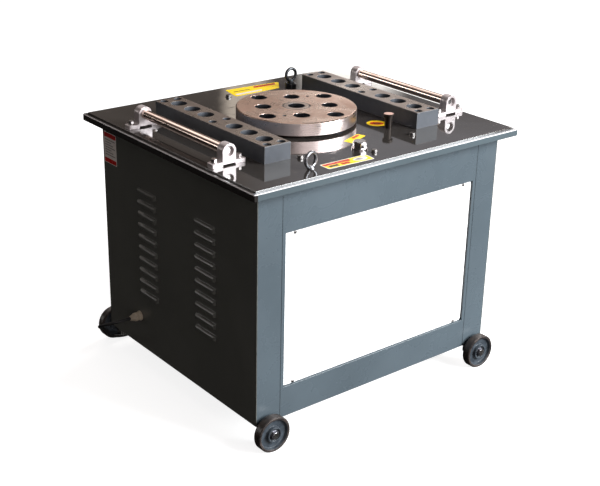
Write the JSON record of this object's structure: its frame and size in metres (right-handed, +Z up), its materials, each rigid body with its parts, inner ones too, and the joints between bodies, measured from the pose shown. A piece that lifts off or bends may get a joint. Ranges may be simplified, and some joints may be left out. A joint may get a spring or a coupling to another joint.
{
  "type": "rebar bender",
  "caption": "Floor-standing rebar bender: a drilled working disc between socket bars and feed rollers on a sheet metal cabinet with wheels.",
  "frame": {"origin": "on the floor below the middle of the table", "axes": "+Z up; +X along the front from its left end to its right end; -Y is the front with the access panel"},
  "size_m": [0.9133, 0.9314, 0.7413],
  "materials": {
    "frame_paint": "semi-gloss blue grey paint",
    "white_panel": "satin white paint",
    "table_paint": "high gloss dark grey paint",
    "table_edge": "gloss blue grey paint with a bright bevel",
    "bar_steel": "dark blued steel with a ground top",
    "turned_steel": "turned steel",
    "zinc": "zinc plated",
    "black_oxide": "black oxide",
    "bracket_white": "white silver paint on a casting",
    "polished_steel": "polished",
    "ground_steel": "ground shaft steel",
    "gear_steel": "cut gear steel, oiled",
    "case_iron": "painted casting",
    "belt_rubber": "fabric faced rubber",
    "motor_paint": "blue motor enamel",
    "stator_core": "laminated steel and varnished windings",
    "fan_plastic": "moulded",
    "box_paint": "textured light grey paint",
    "wheel_iron": "blue grey painted web and a worn dark rim",
    "gland_plastic": "beige nylon",
    "cable_rubber": "matt rubber sheath",
    "plug_plastic": "moulded plastic"
  },
  "bodies": {
    "cabinet": {"corner_posts": "frame_paint", "frame_rails": "frame_paint", "base_channels": "frame_paint", "left_side_panel": "frame_paint", "right_side_panel": "frame_paint", "front_panel": "white_panel", "rear_panel": "frame_paint", "panel_screws": "zinc", "table_base": "table_edge", "table_cover": "table_paint", "table_bolts": "zinc", "oil_filler_plug": "zinc", "lifting_eyes": "zinc", "left_socket_bar": "bar_steel", "right_socket_bar": "bar_steel", "socket_bar_bolts": "black_oxide", "left_roller_brackets": "bracket_white", "right_roller_brackets": "bracket_white", "bracket_bolts": "zinc", "left_roller_shaft": "ground_steel", "right_roller_shaft": "ground_steel", "bearings": "ground_steel", "gear_case": "case_iron", "gear_case_cover": "case_iron", "inner_bolts": "zinc", "drive_belts": "belt_rubber", "motor_body": "motor_paint", "motor_stator": "stator_core", "motor_fan_cover": "motor_paint", "motor_terminal_box": "motor_paint", "motor_stand": "frame_paint", "control_box": "box_paint", "wheel_axles": "ground_steel", "axle_nuts": "zinc", "cable_gland": "gland_plastic", "power_cable": "cable_rubber", "cable_coil": "cable_rubber", "power_plug": "plug_plastic"},
    "working_disc": {"working_disc": "turned_steel", "disc_screws": "black_oxide", "spindle": "turned_steel", "bull_gear": "gear_steel"},
    "second_shaft": {"second_shaft": "ground_steel", "second_gear": "gear_steel"},
    "input_shaft": {"input_shaft": "ground_steel", "driven_pulley": "case_iron"},
    "motor_rotor": {"motor_shaft": "ground_steel", "motor_fan": "fan_plastic", "motor_pulley": "case_iron"},
    "left_roller": {"left_roller": "polished_steel"},
    "right_roller": {"right_roller": "polished_steel"},
    "locating_pin": {"locating_pin": "turned_steel"},
    "wheel_front_left": {"wheel_front_left": "wheel_iron"},
    "wheel_front_right": {"wheel_front_right": "wheel_iron"},
    "wheel_rear_left": {"wheel_rear_left": "wheel_iron"},
    "wheel_rear_right": {"wheel_rear_right": "wheel_iron"}
  },
  "joints": [
    {"name": "disc_spin", "type": "hinge", "parent": "cabinet", "child": "working_disc", "pos_m": [-0.0115, -0.004, 0.706], "axis": [0, 0, 1], "continuous": true},
    {"name": "second_shaft_spin", "type": "hinge", "parent": "cabinet", "child": "second_shaft", "pos_m": [0.11752, 0.08634, 0.6], "axis": [0, 0, 1], "continuous": true},
    {"name": "input_shaft_spin", "type": "hinge", "parent": "cabinet", "child": "input_shaft", "pos_m": [0.09668, 0.20452, 0.56], "axis": [0, 0, 1], "continuous": true},
    {"name": "motor_spin", "type": "hinge", "parent": "cabinet", "child": "motor_rotor", "pos_m": [-0.19, 0.124, 0.48], "axis": [0, 0, 1], "continuous": true},
    {"name": "left_roller_spin", "type": "hinge", "parent": "cabinet", "child": "left_roller", "pos_m": [-0.3595, 0, 0.716], "axis": [0, 1, 0], "continuous": true},
    {"name": "right_roller_spin", "type": "hinge", "parent": "cabinet", "child": "right_roller", "pos_m": [0.3645, 0, 0.716], "axis": [0, 1, 0], "continuous": true},
    {"name": "locating_pin_lift", "type": "slide", "parent": "cabinet", "child": "locating_pin", "axis": [0, 0, 1], "range_m": [0, 0.018]},
    {"name": "wheel_front_left_spin", "type": "hinge", "parent": "cabinet", "child": "wheel_front_left", "pos_m": [-0.358, -0.367, 0.047], "axis": [0, 1, 0], "continuous": true},
    {"name": "wheel_front_right_spin", "type": "hinge", "parent": "cabinet", "child": "wheel_front_right", "pos_m": [0.358, -0.367, 0.047], "axis": [0, 1, 0], "continuous": true},
    {"name": "wheel_rear_left_spin", "type": "hinge", "parent": "cabinet", "child": "wheel_rear_left", "pos_m": [-0.358, 0.379, 0.047], "axis": [0, 1, 0], "continuous": true},
    {"name": "wheel_rear_right_spin", "type": "hinge", "parent": "cabinet", "child": "wheel_rear_right", "pos_m": [0.358, 0.379, 0.047], "axis": [0, 1, 0], "continuous": true}
  ],
  "couplings": [
    {"joint": "second_shaft_spin", "follows": "disc_spin", "ratio": -5},
    {"joint": "input_shaft_spin", "follows": "disc_spin", "ratio": 25},
    {"joint": "motor_spin", "follows": "disc_spin", "ratio": 78.125}
  ]
}
